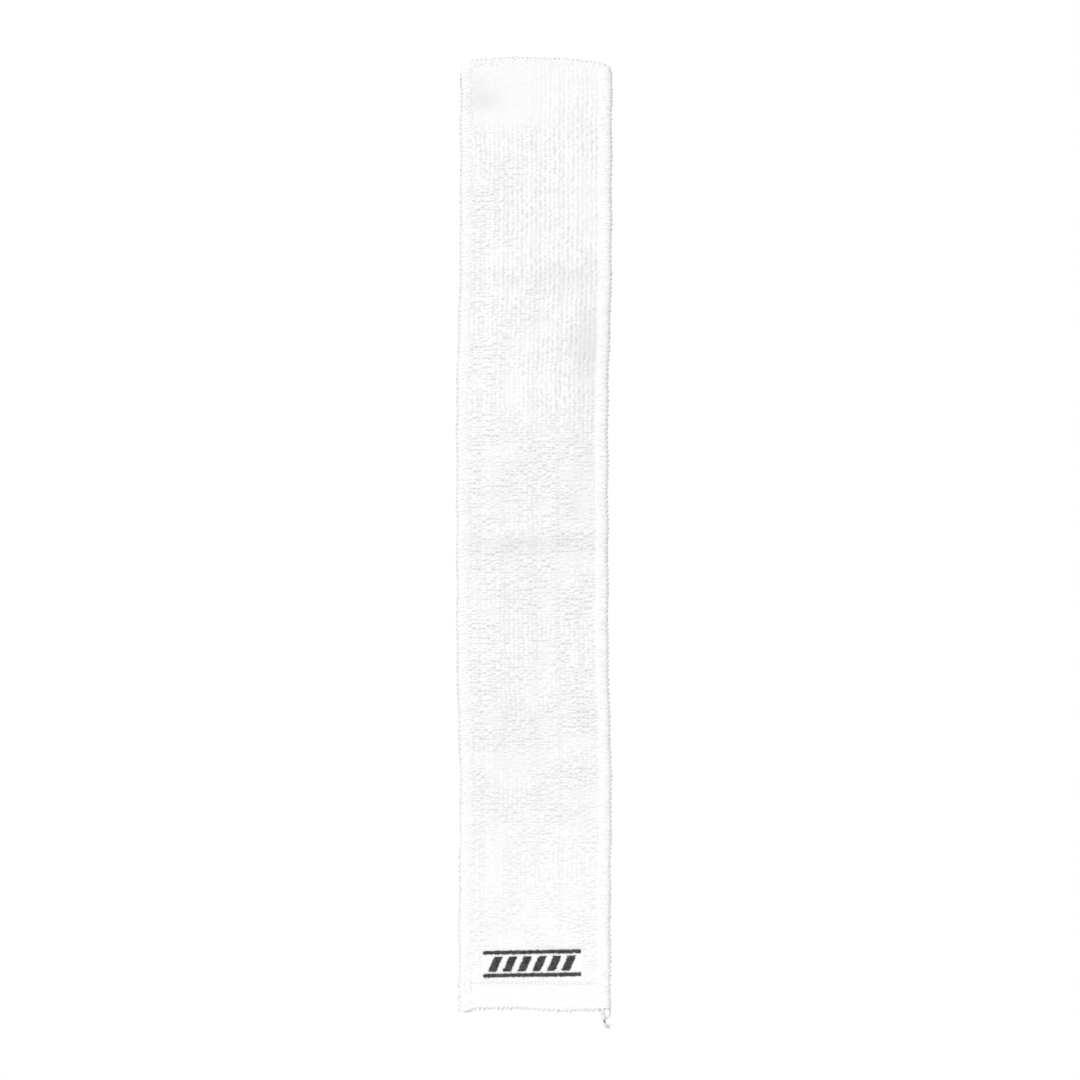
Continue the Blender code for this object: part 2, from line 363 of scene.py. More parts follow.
# %% The creases, the dent and the curled edges
# Each crease: height, how far it stands out, half its breadth, and its pull towards the right side.
CREASES = (
    (SWING_Z + 0.003, 0.9 * MM, 0.008, 0.8),
    (SWING_Z - 0.044, 0.7 * MM, 0.007, 0.9),
    (CREASE_Z + 0.006, 2.2 * MM, 0.008, -0.3),
    (CREASE_Z - 0.110, 1.0 * MM, 0.010, -0.3),
)
CREASE_SLANT = 0.0015
# The dent at the hook tape's lower left corner is narrow above that corner and wide on its other side.
DENT_X, DENT_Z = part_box("hook_tape")[0].x + 0.002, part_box("hook_tape")[0].z + 0.004
DENT_DEPTH = 1.5 * MM
DENT_NARROW, DENT_WIDER = 0.0080, 0.0140
# How broad the curl of each long edge is, and how strong.
RIGHT_CURL = (6.0 * MM, 46.0)
LEFT_CURL = (2.6 * MM, 170.0)


def relief(x, z):
    """How far the cloth lies behind its flat plane; a crease's ridge lies in front of it."""
    across = x / HALF_WIDTH
    depth = 0.5 * MM * wave(z, 0.150, 0.8) + 0.3 * MM * wave(z, 0.066, across)
    for height, size, breadth, right in CREASES:
        slanted = z - height - CREASE_SLANT * across
        weight = 1.0 - abs(right) / 2 + right * across / 2
        depth -= size * weight * np.exp(-((slanted / breadth) ** 2))
    reach = DENT_NARROW + DENT_WIDER * smooth_step(0.5 + (x - DENT_X - z + DENT_Z) / 0.050)
    depth += DENT_DEPTH * np.exp(-((x - DENT_X) ** 2 + (z - DENT_Z) ** 2) / reach**2)
    pucker = 0.28 * MM * wave(z, 0.0173, 2.0 * wave(z, 0.113))
    curl = np.clip(x - HALF_WIDTH + RIGHT_CURL[0], 0.0, None) ** 2 * RIGHT_CURL[1]
    curl += np.clip(-x - HALF_WIDTH + LEFT_CURL[0], 0.0, None) ** 2 * LEFT_CURL[1]
    return depth + across**4 * pucker + curl


def lay(points):
    """Moves points of the flat strip to where the real one lies."""
    x, y, z = points[:, 0], points[:, 1], points[:, 2]
    return np.column_stack([x + wander(z), MIDDLE_Y + y + relief(x, z), z + end_bow(x, z)])


print(f"{len(CREASES)} creases, deepest {max(c[1] for c in CREASES) / MM:.1f} mm")

# %% [markdown]
# ## Terry
# Terry is a plain ground cloth whose extra warp yarns stand up in loops. Here the loops stand in ribs, about
# 3.1 mm apart across the strip and 2 mm apart along it. A bump map alone would look printed on, so the pile
# is real shape: a fine grid is thickened with Solidify into a closed sheet, and each of its points is raised
# to the top of the nearest loop. Every loop has its own lean, size and place, from seeded random numbers. The
# strip is made in lengths, so that each length crosses at most one fold.

# %% The pile's measures, and numbers that change slowly
RIB = 3.09 * MM
ROW = 1.98 * MM
GROUND = 0.75 * MM      # half the thickness of the ground cloth
PILE = 0.80 * MM        # how far the tallest loops stand above it
GAP_FLOOR = 0.13        # the lowest point between loops, as a share of their height
SPARE = 4               # loops beyond each edge, so that every point has neighbours
RIBS = int(2 * HALF_WIDTH / RIB) + 2 * SPARE
ROWS = int((TOP - BOTTOM) / ROW) + 2 * SPARE
TABLE = (64, 256)       # slow cells across and along, with a few to spare
TABLE_EDGE = 4


def slow_random(x, z, cell, seed):
    """Numbers from 0 to 1 that change smoothly, about one change to a cell."""
    table = np.random.default_rng(seed).random(TABLE)
    u, v = (x + HALF_WIDTH) / cell + TABLE_EDGE, (z - BOTTOM) / cell + TABLE_EDGE
    i, j = np.floor(u).astype(int), np.floor(v).astype(int)
    across, along = smooth_step(u - i), smooth_step(v - j)
    low = table[i, j] * (1 - across) + table[i + 1, j] * across
    high = table[i, j + 1] * (1 - across) + table[i + 1, j + 1] * across
    return low * (1 - along) + high * along


print(f"{RIBS - 2 * SPARE} ribs of {ROWS - 2 * SPARE} loops")

# %% The loops, in ribs and in rows
# A loop's half breadth and half height, in ribs' and rows' pitches, and what each gains in a rib.
BROAD, BROAD_GAIN = 0.62, -0.10
TALL, TALL_GAIN = 0.38, 0.50
# How far loops stray along the strip, in pitches, and what that gains where they lie in rows.
STRAY, STRAY_GAIN = 0.26, 0.46
# Where loops lie in rows, a light ridge runs up each gap between ribs: its height and half its breadth.
RIDGE, RIDGE_HALF = 0.76, 0.55 * MM


def ribbed(x, z):
    """1 where loops merge into upright ribs, near the top and on the right, and 0 where they lie in rows."""
    upper = smooth_step((z + 0.270) / 0.230)
    right = smooth_step((x + 0.045) / 0.075)
    patches = slow_random(x, z, 0.017, 8) - 0.5
    return np.clip(0.15 + upper * (0.10 + 0.75 * right) + 0.85 * patches, 0.0, 1.0)


def loops(x, z, seed):
    """Height of the loops from 0, between them, to about 1. Five dice give each loop's place across and
    along, its lean, its tilt and size, and its length."""
    dice = np.random.default_rng(seed).random((RIBS, ROWS, 5))
    rib_size = 0.86 + 0.28 * np.random.default_rng(seed + 1).random(RIBS)
    rib = np.round((x + HALF_WIDTH) / RIB).astype(int) + SPARE // 2
    row = np.round((z - BOTTOM) / ROW).astype(int) + SPARE // 2
    in_ribs = ribbed(x, z)
    broad = RIB * (BROAD + BROAD_GAIN * in_ribs)
    tall = ROW * (TALL + TALL_GAIN * in_ribs)
    uneven = STRAY + STRAY_GAIN * (1.0 - in_ribs)
    between = 0.5 - abs((x + HALF_WIDTH) / RIB - np.round((x + HALF_WIDTH) / RIB))
    height = RIDGE * (1.0 - in_ribs) * np.exp(-((between * RIB / RIDGE_HALF) ** 2))
    for beside in (-1, 0, 1):
        for along in (-1, 0, 1):
            i, j = rib + beside, row + along
            roll = dice[i, j]
            dx = x + HALF_WIDTH - (i - SPARE // 2 + 0.30 * (roll[:, 0] - 0.5)) * RIB
            dz = z - BOTTOM - (j - SPARE // 2 + uneven * (roll[:, 1] - 0.5)) * ROW
            a = (dx - 0.9 * (roll[:, 2] - 0.5) * dz) / broad
            b = (dz - 0.3 * (roll[:, 3] - 0.5) * dx) / (tall + 0.14 * ROW * roll[:, 4])
            dome = np.sqrt(np.clip(1.0 - a * a - b * b, 0.0, None))
            height = np.maximum(height, rib_size[i] * (0.68 + 0.42 * roll[:, 3]) * dome)
    return np.maximum(height, GAP_FLOOR)


middle_loops = loops(np.linspace(-0.04, 0.04, 400), np.full(400, CREASE_Z), 11)
print(f"loops at mid-length: {middle_loops.min():.2f} to {middle_loops.max():.2f} of the pile")


# %% Where thread, tape and the hem press the pile
def inside(x, z, low, high, margin):
    """1 inside a rectangle in the strip's plane, fading to 0 over the margin outside it."""
    out_x = np.maximum(low[0] - x, x - high[0])
    out_z = np.maximum(low[1] - z, z - high[1])
    return 1.0 - smooth_step(np.maximum(out_x, out_z) / margin)


def flat_box(node):
    """A node's lowest and highest corners in the strip's plane."""
    low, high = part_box(node)
    return (low.x, low.z), (high.x, high.z)


EMBLEM_LOW, EMBLEM_HIGH = flat_box("emblem_backing")
SEAM_Z = (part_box("hem_stitching")[0].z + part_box("hem_stitching")[1].z) / 2
SEAM_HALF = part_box("hem_stitching")[1].x
SEAM_STITCH = 2.6 * MM


def matted(x, z):
    """How flat the pile lies on the front of the belt end, most on the left."""
    return smooth_step((z - 0.014) / 0.018) * (0.80 - 0.50 * smooth_step((x + 0.015) / 0.045))


def pressed(x, z, front):
    """How much of its height the pile keeps: less in patches, on the hem and under the emblem, and least
    along the seam and under the tapes."""
    keep = 0.50 + 0.50 * smooth_step(1.6 * slow_random(x, z, 0.012, 5))
    keep *= 1.0 - 0.75 * inside(x, z, EMBLEM_LOW, EMBLEM_HIGH, 2.0 * MM)
    keep *= 1.0 - 0.50 * smooth_step((HEM_TOP + 1.5 * MM - z) / (2.5 * MM))
    keep *= 1.0 - 0.95 * np.exp(-(((z - SEAM_Z) / (0.8 * MM)) ** 2))
    if front:
        keep *= 1.0 - matted(x, z)
        keep *= 1.0 - 0.28 * smooth_step((-0.380 - z) / 0.120)
    else:
        for node in ("hook_tape", "loop_tape"):
            keep *= 1.0 - 0.97 * inside(x, z, *flat_box(node), 1.5 * MM)
    return keep


print(f"the seam lies {(SEAM_Z - BOTTOM) / MM:.1f} mm above the bottom end")

# %% Patches of painted shade and light
# Patches of painted shade on the dent, along the creases and on the right: middle, half size, and how much
# darker. The last two are painted light, and lighter.
SHADED = (
    (DENT_X + 0.001, DENT_Z - 0.001, 0.010, 0.0075, 0.30),
    (-0.004, CREASE_Z - 0.001, 0.026, 0.0075, 0.16),
    (0.014, SWING_Z, 0.024, 0.0090, 0.18),
    (0.038, SWING_Z - 0.048, 0.015, 0.0160, 0.26),
    (0.038, SWING_Z - 0.060, 0.012, 0.0800, 0.14),
    (-0.003, CREASE_Z - 0.111, 0.026, 0.0080, 0.09),
    (-0.031, SWING_Z - 0.055, 0.022, 0.1200, -0.09),
    (-0.038, CREASE_Z - 0.075, 0.015, 0.0500, -0.06),
)


def painted_light_and_shade(x, z):
    """How much darker the front's colour is painted, for shade: 0 elsewhere, and below 0 where light is
    painted.
    """
    loss = np.zeros(len(x))
    for middle_x, middle_z, half_x, half_z, most in SHADED:
        loss += most * np.exp(-(((x - middle_x) / half_x) ** 2) - ((z - middle_z) / half_z) ** 2)
    return loss


print(f"{len(SHADED)} patches")

# %% From a flat grid to a closed sheet
STEP = ((RIB / 6, ROW / 5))
CLOTH_INSET = 1.0 * MM   # from the thread's outer edge to the cloth's
CLOTH_HALF = HALF_WIDTH - CLOTH_INSET


def only(piece):
    """Selects one object and makes it active, so that an operator acts on nothing else."""
    bpy.ops.object.select_all(action="DESELECT")
    piece.select_set(True)
    bpy.context.view_layer.objects.active = piece


def read(items, key, kind, width):
    """One value of many vertices, edges or corners, as rows of an array."""
    found = np.empty(len(items) * width, dtype=kind)
    items.foreach_get(key, found)
    return found.reshape(-1, width)


def closed_grid(name, width, height, columns, rows):
    """A grid that faces front, thickened to two skins and a rim. Returns it and its points."""
    bpy.ops.object.select_all(action="DESELECT")
    bpy.ops.mesh.primitive_grid_add(
        x_subdivisions=columns, y_subdivisions=rows, size=1, rotation=(pi / 2, 0.0, 0.0)
    )
    piece = bpy.context.object
    piece.name = piece.data.name = name
    piece.scale = (width, height, 1.0)
    only(piece)
    bpy.ops.object.transform_apply(location=True, rotation=True, scale=True)
    thicken = piece.modifiers.new("Two skins", "SOLIDIFY")
    thicken.thickness = MM
    thicken.offset = 0.0
    bpy.ops.object.modifier_apply(modifier=thicken.name)
    return piece, read(piece.data.vertices, "co", np.float32, 3).astype(float)


def settle(piece, points, front, material, painted_shading=None):
    """Writes the laid points back and gives the finish. All is smooth, but for the edge of each skin."""
    mesh = piece.data
    mesh.vertices.foreach_set("co", lay(points).ravel())
    mesh.shade_smooth()
    fronts = front[read(mesh.loops, "vertex_index", np.int32, 1).reshape(-1, 4)].sum(axis=1)
    quads = read(mesh.loops, "edge_index", np.int32, 1).reshape(-1, 4)
    beside_rim = quads[(fronts > 0) & (fronts < 4)]
    ends = read(mesh.edges, "vertices", np.int32, 2)
    sharp = np.zeros(len(ends), bool)
    sharp[beside_rim.ravel()] = True
    sharp &= front[ends[:, 0]] == front[ends[:, 1]]
    mesh.edges.foreach_set("use_edge_sharp", sharp)
    # painted_shading is the cloth's painted shade and light, stored as the 'pile' attribute for the colour
    if painted_shading is not None:
        layer = mesh.attributes.new("pile", "FLOAT", "POINT")
        layer.data.foreach_set("value", painted_shading.astype(np.float32))
    mesh.materials.clear()
    mesh.materials.append(material)
    mesh.update()
    return piece


print(f"grid of {STEP[0] / MM:.2f} x {STEP[1] / MM:.2f} mm")

# %% One length of terry
WRAPPED = 1.28 * MM     # half the cloth's thickness where thread holds its edge
ROLL = 1.7 * MM         # how far in the edge's rounding goes
EDGE_LEFT = 0.25        # the share of its thickness that the cloth keeps at the very edge
MAT = 0.50              # how high matted pile lies, as a share of the pile
# Painted shade: cloth under the thread is coloured a little darker, as if in the thread's shadow.
HELD_PAINTED_SHADE = 0.90       # the shade of cloth under thread
# Painted shade: the needle holes along the hem's seam are coloured darker, for the shadow in them.
SEAM_PAINTED_SHADE = 0.60       # how much darker the needle holes of the hem are


def terry_length(name, high, low):
    """The strip between two heights: ground cloth, loops in front and behind, and a rounded raw edge."""
    columns, rows = round(2 * CLOTH_HALF / STEP[0]), round((high - low) / STEP[1])
    piece, points = closed_grid(name, 2 * CLOTH_HALF, high - low, columns, rows)
    points[:, 2] += (high + low) / 2
    x, z = points[:, 0], points[:, 2]
    front = points[:, 1] < 0
    height = np.where(front, loops(x, z, 11), loops(x, z, 12))
    keep = np.where(front, pressed(x, z, True), pressed(x, z, False))
    from_side = CLOTH_HALF - abs(x)
    from_end = np.minimum(TOP - z, z - BOTTOM) - CLOTH_INSET
    held = np.maximum(
        1.0 - smooth_step((from_side - 0.70 * BAND) / (0.35 * BAND)),
        1.0 - smooth_step((from_end - 0.60 * END_BAND) / (0.45 * END_BAND)),
    )
    mat = MAT * np.where(front, matted(x, z), 0.0)
    out = (GROUND + PILE * (keep * height + mat)) * (1.0 - held) + WRAPPED * held
    curve = 1.0 - np.clip(np.minimum(from_side, from_end) / ROLL, 0.0, 1.0)
    out *= EDGE_LEFT + (1.0 - EDGE_LEFT) * np.sqrt(1.0 - curve * curve)
    points[:, 1] = np.where(front, -out, out)

    # Painted light: where the pile is flattened, its colour is made lighter towards the bottom end.
    flat = 0.80 + 0.14 * smooth_step((-0.400 - z) / 0.100)
    # Painted shade: the colour darkens with the loops' depth, as shadow lies between them.
    painted_shading = (height * keep + flat * (1.0 - keep)) * (1.0 - held) + HELD_PAINTED_SHADE * held
    painted_shading = np.clip(painted_shading, 0.0, 1.0) ** 0.6
    # painted shade and painted light in patches, on the front and off the thread
    painted_shading *= 1.0 - (1.0 - held) * np.where(front, painted_light_and_shade(x, z), 0.0)
    # painted shade in the needle holes of the hem's seam
    holes = 0.5 + 0.5 * np.cos((x - SEAM_HALF) * 2 * pi / SEAM_STITCH)
    near_seam = np.exp(-(((z - SEAM_Z) / (0.9 * MM)) ** 2))
    painted_shading *= 1.0 - SEAM_PAINTED_SHADE * holes * near_seam * (from_side > BAND)
    return settle(piece, points, front, COTTON, painted_shading)


print(f"held edge {2 * WRAPPED / MM:.2f} mm thick, pile {2 * (GROUND + PILE) / MM:.2f} mm")

# %% [markdown]
# The lengths below meet at the same grid line, with the same loops on both sides of it, so the joins can't be
# seen. A length that lies across a fold stays where it lies and is given to no body.

# %% Where each length starts, and the fold it crosses
BENDS = {
    "belt_flap_fold": ("waist", "flap", FLAP_Z - 0.007, FLAP_Z + 0.007),
    "streamer_swing": ("waist", "upper_streamer", SWING_Z + 0.010, SWING_Z - 0.010),
    "mid_crease_fold": ("upper_streamer", "lower_streamer", CREASE_Z + 0.007, CREASE_Z - 0.007),
}


def row_gap(z):
    """The nearest gap between two rows of loops, where a join doesn't show."""
    return BOTTOM + (round((z - BOTTOM) / ROW - 0.5) + 0.5) * ROW


# Where each length starts, from the top, and the fold that it crosses or the body that it rides on.
LENGTHS = (
    ("belt_end", TOP - CLOTH_INSET, "belt_flap_fold"),
    ("waist", row_gap(-0.0250), "streamer_swing"),
    ("upper", row_gap(-0.1180), "upper_streamer"),
    ("middle", row_gap(-0.2080), "mid_crease_fold"),
    ("lower", row_gap(-0.3000), "lower_streamer"),
    ("shin", row_gap(-0.3850), "lower_streamer"),
    ("emblem", row_gap(-0.4650), "lower_streamer"),
    ("hem", row_gap(HEM_TOP), "lower_streamer"),
    ("", BOTTOM + CLOTH_INSET, ""),
)
STANDS_FOR = {
    "belt_end": ["flap_terry"],
    "waist": ["waist_terry"],
    "upper": ["upper_terry"],
    "lower": ["lower_terry"],
    "hem": ["bottom_hem"],
}
print(f"{len(LENGTHS) - 1} lengths over {len(BENDS)} folds")


# %% All lengths of the strip
def carry(piece, by):
    """Leaves a piece that crosses a fold where it lies, or rides it on its body."""
    if by in BENDS:
        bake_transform(piece)
    else:
        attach(piece, by)


for (place, high, by), (_, low, _) in zip(LENGTHS, LENGTHS[1:]):
    length = terry_length(place + "_cloth", high, low)
    carry(length, by)
    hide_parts(*STANDS_FOR.get(place, []))
    print(f"{length.name}: {len(length.data.polygons)} faces, carried by {by}")

# %% [markdown]
# ## Thread
# Overlock stitching is thread looped round the raw edge, over and over. Each strand is a route of points: in
# at the needle line, slanting over the front, round the edge, slanting over the back and in again. A route
# becomes a curve with a round bevel, and the curve becomes a mesh.


# %% From routes to threads
def threads(name, strands, material, sides=6):
    """Round threads on the flat strip, laid with it, as one mesh. Each strand is its route and its radius."""
    curve = bpy.data.curves.new(name, "CURVE")
    curve.dimensions = "3D"
    curve.bevel_depth = MM
    curve.bevel_resolution = (sides - 4) // 2
    curve.use_fill_caps = True
    for route, radius in strands:
        laid = lay(np.asarray(route, float))
        spline = curve.splines.new("POLY")
        spline.points.add(len(laid) - 1)
        spline.points.foreach_set("co", np.column_stack([laid, np.ones(len(laid))]).ravel())
        thickness = np.broadcast_to(radius / MM, len(laid)).astype(np.float32)
        spline.points.foreach_set("radius", thickness)
        spline.use_smooth = True
    piece = bpy.data.objects.new(name, curve)
    bpy.context.scene.collection.objects.link(piece)
    only(piece)
    bpy.ops.object.convert(target="MESH")
    bpy.ops.object.mode_set(mode="EDIT")
    bpy.ops.mesh.select_all(action="SELECT")
    bpy.ops.mesh.remove_doubles(threshold=MM / 1000)
    bpy.ops.object.mode_set(mode="OBJECT")
    piece = bpy.context.object
    piece.data.name = name
    piece.data.materials.clear()
    piece.data.materials.append(material)
    return piece


def arch(low, high, shoulder):
    """Five levels that rise from low to high and fall again; shoulder is the share reached on the way."""
    part_way = (1.0 - shoulder) * low + shoulder * high
    return np.array([low, part_way, high, part_way, low])


def lockstitches(start, end, length, top, dip, radius, seed=1):
    """Stitches in a straight row, from and to (x, z). Each one rises from dip to top and goes in again."""
    start, end = np.array(start), np.array(end)
    count = max(1, round(np.linalg.norm(end - start) / length))
    dice = np.random.default_rng(seed)
    strands = []
    for number in range(count):
        along = (number + np.array([0.04, 0.16, 0.50, 0.84, 0.96]) + 0.04 * dice.normal()) / count
        place = start + along[:, None] * (end - start)
        strands.append((np.column_stack([place[:, 0], arch(dip, top, 0.75), place[:, 1]]), radius))
    return strands


print(f"a stitch's levels from 0 to 1: {arch(0.0, 1.0, 0.75)}")

# %% One strand of overlock, as a flattened coil
STITCH = 3.05 * MM
EDGE = HALF_WIDTH - 0.5 * MM
# One turn: distance in from the edge as a share of the band, height off the middle of the cloth in
# millimetres, and how far along the stitch it has come.
TURN = np.array((
    (1.03, 0.50, 0.00), (0.94, 1.08, 0.05), (0.72, 1.28, 0.18), (0.42, 1.30, 0.34),
    (0.17, 1.20, 0.46), (0.05, 0.72, 0.53), (0.01, 0.00, 0.55), (0.05, -0.72, 0.57),
    (0.17, -1.20, 0.63), (0.42, -1.30, 0.73), (0.72, -1.28, 0.85), (0.94, -1.08, 0.96),
    (1.03, -0.50, 1.00),
))


def coil(start, end, depth, fan, seed, slack=0.0):
    """One strand wound round the edge from start to end, as rows of inward, front and along. Strands with
    different fan lie together at the edge and spread out towards the needle line. slack is how far the
    loosest turns hang out."""
    turns = max(1, round(abs(end - start) / STITCH))
    pitch = (end - start) / turns
    hanging = slack * np.random.default_rng(seed + 7).random(turns) ** 2
    dice = np.random.default_rng(seed)
    route = []
    for number in range(turns):
        drift = dice.normal(0.0, 1.0, TURN.shape) * (0.03 * depth, 0.07 * MM, 0.06)
        drift[[0, -1]] = 0.0
        inward = TURN[:, 0] * depth + drift[:, 0]
        inward -= hanging[number] * np.clip(1.0 - TURN[:, 0], 0.0, None) ** 2
        front = TURN[:, 1] * MM * (1.0 + 0.05 * dice.normal()) + drift[:, 1]
        spread = fan * (0.55 + 0.45 * TURN[:, 0])
        along = start + (number + 0.5 + spread + TURN[:, 2] + drift[:, 2]) * pitch
        route.append(np.column_stack([inward, front, along]))
    return np.concatenate(route)


# Radius and fan of each strand that shares the edge.
STRANDS = ((0.52 * MM, -0.38), (0.56 * MM, 0.0), (0.50 * MM, 0.36))
print(f"{(TOP - BOTTOM) / STITCH:.0f} stitches down each long side")

# %% The long sides, in lengths that follow the cloth's folds
SIDE_LENGTHS = (
    ("flap", TOP - 3.5 * MM, -0.0375, "belt_flap_fold"),
    ("waist", -0.0375, -0.1400, "streamer_swing"),
    ("upper", -0.1400, -0.3200, "mid_crease_fold"),
    ("lower", -0.3200, BOTTOM + 1.8 * MM, "lower_streamer"),
)
NEEDLE_RADIUS = 0.30 * MM
# The needle line's stitches on the front and on the back: how far out they stand, and where they dip in.
NEEDLE_LEVELS = ((-1.05 * MM, -0.6 * MM), (1.05 * MM, 0.6 * MM))

for side, sign in (("left", -1), ("right", 1)):
    for number, (place, high, low, by) in enumerate(SIDE_LENGTHS):
        strands = []
        for which, (radius, fan) in enumerate(STRANDS):
            wound = coil(high, low, BAND, fan, 100 * number + 10 * which + (sign > 0))
            route = np.column_stack([sign * (EDGE - wound[:, 0]), -wound[:, 1], wound[:, 2]])
            strands.append((route, radius))
        line = sign * (EDGE - BAND)
        for top, dip in NEEDLE_LEVELS:
            strands += lockstitches((line, high), (line, low), STITCH, top, dip, NEEDLE_RADIUS, seed=number)
        binding = threads(f"{place}_{side}_binding", strands, OVERLOCK)
        carry(binding, by)
        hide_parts(f"{place}_overlock_{side}")
        print(f"{binding.name}: {len(binding.data.polygons)} faces")

# %% The two short ends
END_LEFT, END_RIGHT = {"top": -0.0460, "bottom": -0.0492}, 0.0480
END_FLATTER, END_THINNER = 0.94, 0.8    # against the long sides

for end, edge, sign, slack, by in (
    ("top", TOP - 0.5 * MM, 1, 0.1 * MM, "flap"),
    ("bottom", BOTTOM + 0.5 * MM, -1, 1.1 * MM, "lower_streamer"),
):
    strands = []
    for which, (radius, fan) in enumerate(STRANDS):
        wound = coil(END_LEFT[end], END_RIGHT, END_BAND, fan, 900 + 10 * which + sign, slack)
        route = np.column_stack([wound[:, 2], -END_FLATTER * wound[:, 1], edge - sign * wound[:, 0]])
        strands.append((route, END_THINNER * radius))
    line = edge - sign * END_BAND
    ends = ((END_LEFT[end], line), (END_RIGHT, line))
    for top, dip in NEEDLE_LEVELS:
        strands += lockstitches(*ends, STITCH, top, dip, NEEDLE_RADIUS, seed=5)
    binding = threads(f"{end}_end_binding", strands, OVERLOCK)
    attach(binding, by)
    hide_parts(f"{end}_end_overlock")
    print(f"{binding.name}: {len(binding.data.polygons)} faces")

# %% [markdown]
# ## The loose end of the overlock chain
# Where the machine ran off the corner, its threads are chained together and cut. The chain leaves the corner
# as two legs that twist into one, and the cut end has come apart in a small hook. Its route is a short list
# of given points, with a few strands wound round each leg.

# %% Strands twisted round a route
TWIST_STEP = 0.35 * MM


def twisted(route, spread, turn, radius, strands=2):
    """Strands wound round a route of (x, y, z) points: spread is the winding's radius, turn its length."""
    route = np.array(route)
    steps = np.linalg.norm(np.diff(route, axis=0), axis=1)
    along = np.concatenate([[0.0], np.cumsum(steps)])
    at = np.linspace(0.0, along[-1], int(along[-1] / TWIST_STEP) + 2)
    middle = np.column_stack([np.interp(at, along, route[:, axis]) for axis in range(3)])
    heading = np.gradient(middle, axis=0)
    sideways = np.column_stack([-heading[:, 2], np.zeros(len(at)), heading[:, 0]])
    sideways /= np.linalg.norm(sideways, axis=1)[:, None]
    made = []
    for number in range(strands):
        angle = 2 * pi * (at / turn + number / strands)
        offset = np.cos(angle)[:, None] * sideways + np.sin(angle)[:, None] * np.array([0.0, 1.0, 0.0])
        made.append((middle + spread * offset, radius))
    return made


JOIN = (46.4 * MM, 0.0, BOTTOM - 6.2 * MM)
INNER_LEG = ((45.0 * MM, 0.0, BOTTOM + 1.5 * MM), (45.2 * MM, 0.0, BOTTOM - 3.0 * MM), JOIN)
OUTER_LEG = (
    (49.6 * MM, 0.0, BOTTOM + 3.0 * MM),
    (49.8 * MM, 0.0, BOTTOM - 3.4 * MM),
    (49.0 * MM, 0.0, BOTTOM - 4.8 * MM),
    JOIN,
)
CHAIN_END = (
    JOIN,
    (46.0 * MM, 0.0, BOTTOM - 8.8 * MM),
    (47.2 * MM, -0.2 * MM, BOTTOM - 10.6 * MM),
    (48.6 * MM, -0.4 * MM, BOTTOM - 11.4 * MM),
    (48.9 * MM, -0.6 * MM, BOTTOM - 12.3 * MM),
)
strands = twisted(INNER_LEG, spread=0.80 * MM, turn=4.4 * MM, radius=0.58 * MM, strands=4)
strands += twisted(OUTER_LEG, spread=0.45 * MM, turn=2.8 * MM, radius=0.44 * MM)
strands += twisted(CHAIN_END, spread=0.55 * MM, turn=2.6 * MM, radius=0.36 * MM, strands=4)
print(f"{len(strands)} strands in the chain")

# %% The frayed end, and a dark thread caught in the chain
FRAYED_FIBRES = 30
FIBRE_RADIUS = 0.12 * MM
dice = np.random.default_rng(41)
for number in range(FRAYED_FIBRES):
    root = np.array(CHAIN_END[3]) + 0.6 * MM * dice.normal(0.0, 1.0, 3)
    reach = np.array([1.2, 0.5, 0.8]) * MM * dice.normal(0.0, 1.0, 3)
    bend = 0.5 * MM * dice.normal(0.0, 1.0, 3)
    strands.append((np.array([root, root + 0.5 * reach + bend, root + reach]), FIBRE_RADIUS))
tail = threads("loose_thread_tail", strands, LOOSE)
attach(tail, "lower_streamer")
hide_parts("thread_tail")
print(f"{tail.name}: {len(strands)} strands")

caught = twisted((JOIN, CHAIN_END[1]), spread=0.70 * MM, turn=6.0 * MM, radius=0.42 * MM)
dark_end = threads("caught_dark_thread", caught, EMBROIDERY)
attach(dark_end, "lower_streamer")
print(f"{dark_end.name}: {len(caught)} strands")

# %% [markdown]
# ## Hem stitching
# The bottom end is turned up and sewn flat with one row of lockstitches, on both faces. Each stitch is its
# own short thread that dips into the cloth at both ends, as the real ones do.

# %% Hem stitches
HEM_RISE, HEM_DIP, HEM_RADIUS = 0.92 * MM, 0.35 * MM, 0.24 * MM
seam_ends = ((-SEAM_HALF, SEAM_Z), (SEAM_HALF, SEAM_Z))
hem_row = []
for face, seed in ((-1, 21), (1, 22)):
    hem_row += lockstitches(*seam_ends, SEAM_STITCH, face * HEM_RISE, face * HEM_DIP, HEM_RADIUS, seed)
hem_seam = threads("hem_stitches", hem_row, SEWING)
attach(hem_seam, "lower_streamer")
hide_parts("hem_stitching")
print(f"{hem_seam.name}: {len(hem_row)} stitches")

# %% [markdown]
# ## Embroidery
# Satin stitch fills a shape with threads laid side by side from one edge to the other, so light runs across
# the block in fine lines. Each block here is made of real arched strands. A rail is stitched across its
# narrow side, and so is a bar. Behind the cloth is a felt backing, with the white bobbin thread under each
# block.

# %% Satin stitch
TILT = radians(1.0)
SATIN_PITCH = 0.40 * MM
SATIN_RADIUS = 0.23 * MM
RAGGED = 0.27 * MM       # how unevenly the strands end
SATIN_LEAN = 0.10 * MM   # and how far they lean


